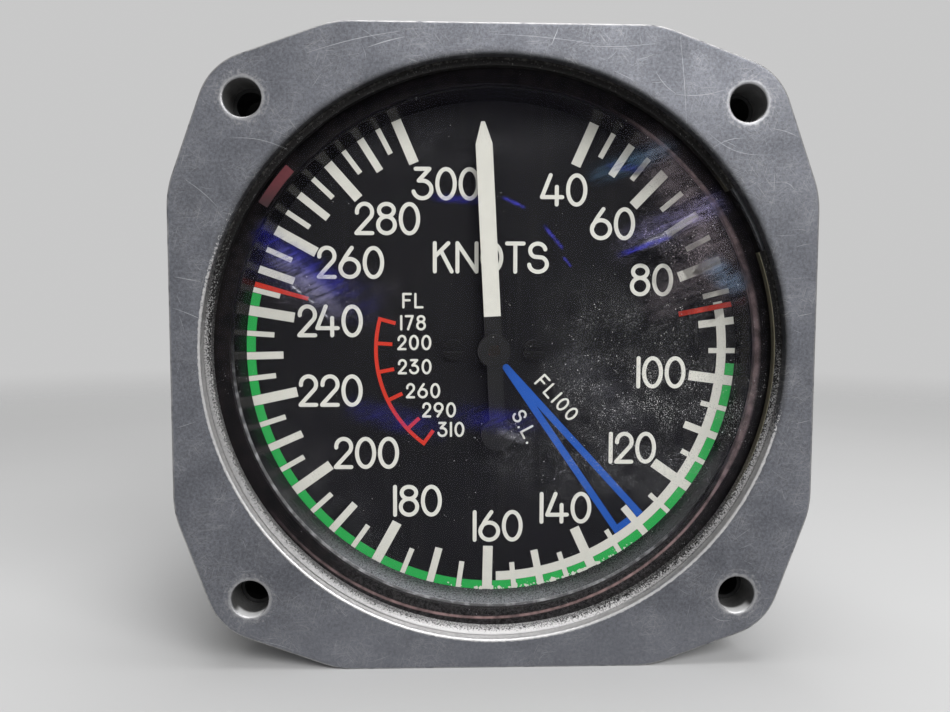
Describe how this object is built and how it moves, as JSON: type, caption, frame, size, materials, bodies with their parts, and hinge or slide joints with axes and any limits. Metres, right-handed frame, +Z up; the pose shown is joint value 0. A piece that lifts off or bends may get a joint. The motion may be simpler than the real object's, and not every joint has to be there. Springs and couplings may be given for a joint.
{
  "type": "airspeed indicator",
  "caption": "Round airspeed indicator in a square-flanged cast case: black knots dial with colour bands and a white pointer that a capsule turns through a rocking shaft and toothed sector.",
  "frame": {"origin": "on the dial axis, in the plane of the flange's front face, at the centre of the four panel screw holes", "axes": "+Y into the case along the dial axis, so the dial faces -Y; +Z up, towards 12 o'clock; +X to the reader's right"},
  "size_m": [0.0816, 0.07, 0.0816],
  "materials": {
    "cast_case": "dark grey cast aluminium, worn and scratched, bare at the edges",
    "ring_steel": "blackened spring steel",
    "window_glass": "clear glass with a faint blue coating, dusty",
    "gasket_rubber": "matt black rubber",
    "black_metal": "black painted aluminium",
    "black_brass": "black painted brass",
    "black_steel": "blackened steel",
    "dial_black": "matt black painted aluminium",
    "ink_white": "matt warm white print",
    "ink_green": "matt green print",
    "ink_red": "matt orange red print",
    "ink_blue": "matt blue print",
    "mark_red": "dull dark red paint",
    "spring_bronze": "bare spring bronze",
    "plate_metal": "bare aluminium",
    "brass": "bare brass",
    "steel": "bare steel",
    "jewel": "polished ruby"
  },
  "bodies": {
    "case": {"case": "cast_case", "retaining_ring": "ring_steel", "cover_glass": "window_glass", "paint_mark": "mark_red", "case_screws": "steel", "glass_gasket": "gasket_rubber", "mask_ring": "black_metal", "dial": "dial_black", "dial_screws": "black_steel", "white_marks": "ink_white", "green_band": "ink_green", "red_marks": "ink_red", "blue_marks": "ink_blue", "hairspring": "spring_bronze", "hairspring_stud": "brass", "front_plate": "plate_metal", "rear_plate": "plate_metal", "plate_screws": "steel", "dial_posts": "brass", "front_pillars": "brass", "rear_pillars": "brass", "staff_jewel": "jewel", "pivot_jewels": "jewel", "sector_stops": "steel", "rocker_bearings": "plate_metal", "pivot_screws": "steel", "capsule_front": "spring_bronze", "capsule_rear": "spring_bronze", "capsule_stem": "brass"},
    "pointer": {"pointer": "black_metal", "pointer_paint": "ink_white", "pointer_hub": "black_metal", "pointer_weight": "black_brass", "hand_staff": "steel", "hairspring_collet": "brass"},
    "sector": {"sector_gear": "brass", "sector_staff": "steel", "sector_pin": "steel"},
    "rocker": {"rocking_shaft": "steel", "rocker_arm": "steel", "rocker_finger": "steel"},
    "lift": {"capsule_post": "brass"}
  },
  "joints": [
    {"name": "pointer_turn", "type": "hinge", "parent": "case", "child": "pointer", "pos_m": [0, 0, 0], "axis": [0, 1, 0], "range_deg": [0, 344], "stiffness_Nm_per_rad": 0.00005, "springref_deg": -114.59, "deforming": ["hairspring"]},
    {"name": "sector_swing", "type": "hinge", "parent": "case", "child": "sector", "pos_m": [-0.02006, 0, -0.008], "axis": [0, 1, 0], "range_deg": [-43.05, 0.05]},
    {"name": "rocker_swing", "type": "hinge", "parent": "case", "child": "rocker", "pos_m": [0, 0.03995, -0.0067], "axis": [1, 0, 0], "range_deg": [-0.05, 16.05]},
    {"name": "capsule_travel", "type": "slide", "parent": "case", "child": "lift", "axis": [0, -1, 0], "range_m": [-0.00001, 0.00189], "deforming": ["capsule_front"]}
  ],
  "couplings": [
    {"joint": "sector_swing", "follows": "pointer_turn", "ratio": -0.125},
    {"joint": "rocker_swing", "follows": "pointer_turn", "ratio": 0.046512},
    {"joint": "capsule_travel", "follows": "pointer_turn", "m_per_rad": 0.00031367}
  ]
}
